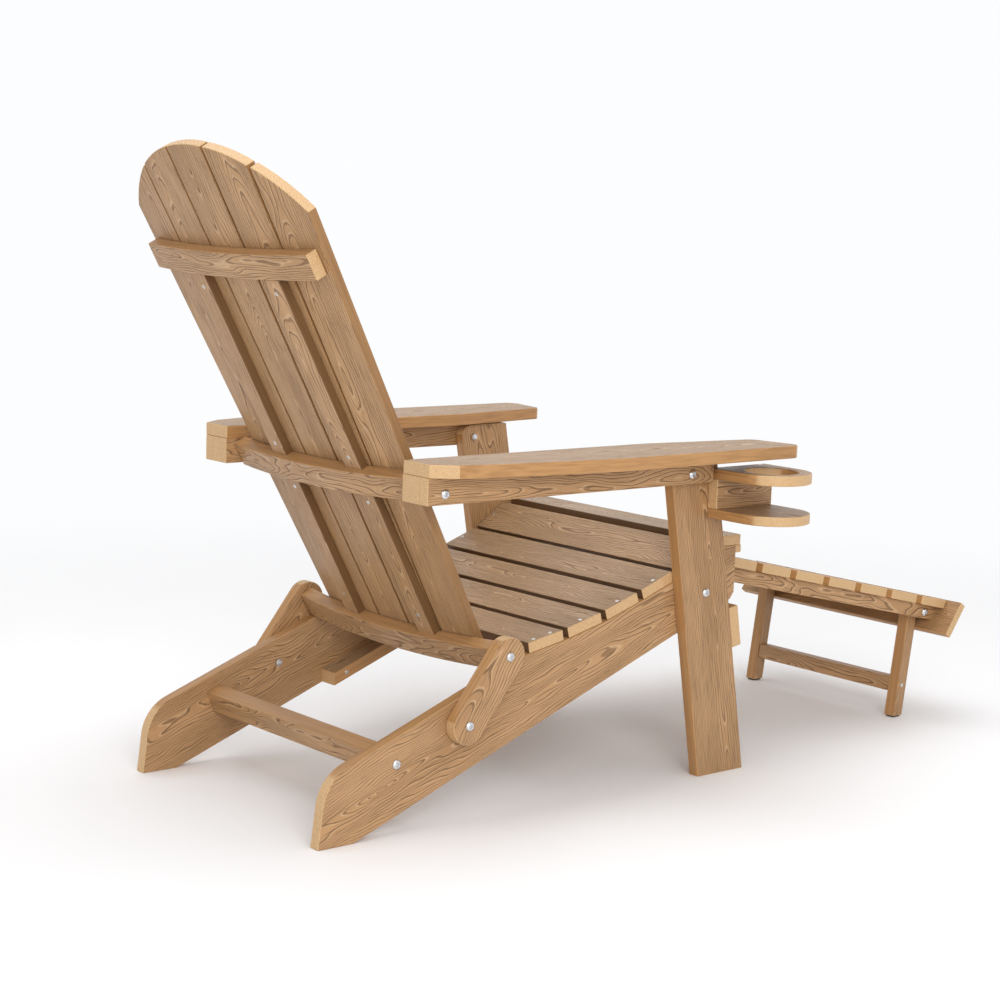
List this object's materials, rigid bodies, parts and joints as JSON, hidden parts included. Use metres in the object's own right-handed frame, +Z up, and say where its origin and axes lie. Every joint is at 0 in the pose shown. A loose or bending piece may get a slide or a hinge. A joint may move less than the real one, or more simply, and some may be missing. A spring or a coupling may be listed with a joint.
{
  "type": "adirondack chair",
  "caption": "Folding slatted garden chair with a fan-shaped reclined back, flat arms, a cup holder on one front leg and a slatted footrest on a folding prop.",
  "frame": {"origin": "centre of the outer box of the opened chair, on the floor", "axes": "+Z up, the sitter faces -Y, +X is the sitter's left"},
  "size_m": [0.774, 1.5112, 0.9901],
  "materials": {
    "faux_wood": "embossed grain, matt",
    "bolt_steel": "bright",
    "screw_steel": "satin",
    "glide": "matt"
  },
  "bodies": {
    "root": {"crossbar_bolts": "bolt_steel", "guide_rail_left": "faux_wood", "guide_rail_right": "faux_wood", "rear_crossbar": "faux_wood", "seat_nosing": "faux_wood", "seat_screws": "screw_steel", "seat_slat_1": "faux_wood", "seat_slat_2": "faux_wood", "seat_slat_3": "faux_wood", "seat_slat_4": "faux_wood", "seat_slat_5": "faux_wood", "seat_slat_6": "faux_wood", "stringer_left": "faux_wood", "stringer_right": "faux_wood"},
    "front_legs": {"cup_holder_back": "faux_wood", "cup_holder_bottom": "faux_wood", "cup_holder_top": "faux_wood", "front_leg_left": "faux_wood", "front_leg_right": "faux_wood", "front_leg_screws": "screw_steel", "front_stretcher": "faux_wood", "leg_pivot_bolts": "bolt_steel"},
    "arms": {"arm_apron_left": "faux_wood", "arm_apron_right": "faux_wood", "arm_block_left": "faux_wood", "arm_block_right": "faux_wood", "arm_bolts": "bolt_steel", "arm_plate_left": "faux_wood", "arm_plate_right": "faux_wood", "arm_screws": "screw_steel"},
    "links": {"link_bolts": "bolt_steel", "link_plate_left": "faux_wood", "link_plate_right": "faux_wood"},
    "back": {"back_batten_left": "faux_wood", "back_batten_right": "faux_wood", "back_screws": "screw_steel", "back_slat_1": "faux_wood", "back_slat_2": "faux_wood", "back_slat_3": "faux_wood", "back_slat_4": "faux_wood", "back_slat_5": "faux_wood", "lower_brace": "faux_wood", "mid_brace": "faux_wood", "upper_batten": "faux_wood"},
    "footrest": {"footrest_front_board": "faux_wood", "footrest_rail_left": "faux_wood", "footrest_rail_right": "faux_wood", "footrest_screws": "screw_steel", "footrest_slat_1": "faux_wood", "footrest_slat_2": "faux_wood", "footrest_slat_3": "faux_wood", "footrest_slat_4": "faux_wood", "footrest_slat_5": "faux_wood", "footrest_slat_6": "faux_wood", "footrest_slat_7": "faux_wood"},
    "footrest_prop": {"footrest_glides": "glide", "footrest_prop_bar": "faux_wood", "footrest_prop_bolts": "bolt_steel", "footrest_prop_left": "faux_wood", "footrest_prop_right": "faux_wood"}
  },
  "joints": [
    {"name": "fold", "type": "hinge", "parent": "root", "child": "front_legs", "pos_m": [0.025, -0.0599, 0.3054], "axis": [1, 0, 0], "range_deg": [0, 79.4]},
    {"name": "arm_fold", "type": "hinge", "parent": "front_legs", "child": "arms", "pos_m": [0.025, 0.0031, 0.5035], "axis": [1, 0, 0], "range_deg": [-88.03, 0]},
    {"name": "link_fold", "type": "hinge", "parent": "root", "child": "links", "pos_m": [0.025, 0.4216, 0.15093], "axis": [1, 0, 0], "range_deg": [-92.91, 0]},
    {"name": "back_fold", "type": "hinge", "parent": "links", "child": "back", "pos_m": [0.025, 0.34777, 0.2468], "axis": [1, 0, 0], "range_deg": [0, 191.01]},
    {"name": "footrest_tilt", "type": "hinge", "parent": "root", "child": "footrest", "pos_m": [0.025, -0.1469, 0.30963], "axis": [1, 0, 0], "range_deg": [-33.4, 0]},
    {"name": "prop_fold", "type": "hinge", "parent": "footrest", "child": "footrest_prop", "pos_m": [0.025, -0.69393, 0.19886], "axis": [1, 0, 0], "range_deg": [0, 94]}
  ],
  "couplings": [
    {"joint": "arm_fold", "follows": "fold", "ratio": -1.1062},
    {"joint": "link_fold", "follows": "fold", "ratio": -1.1677},
    {"joint": "back_fold", "follows": "fold", "ratio": 2.4032}
  ]
}
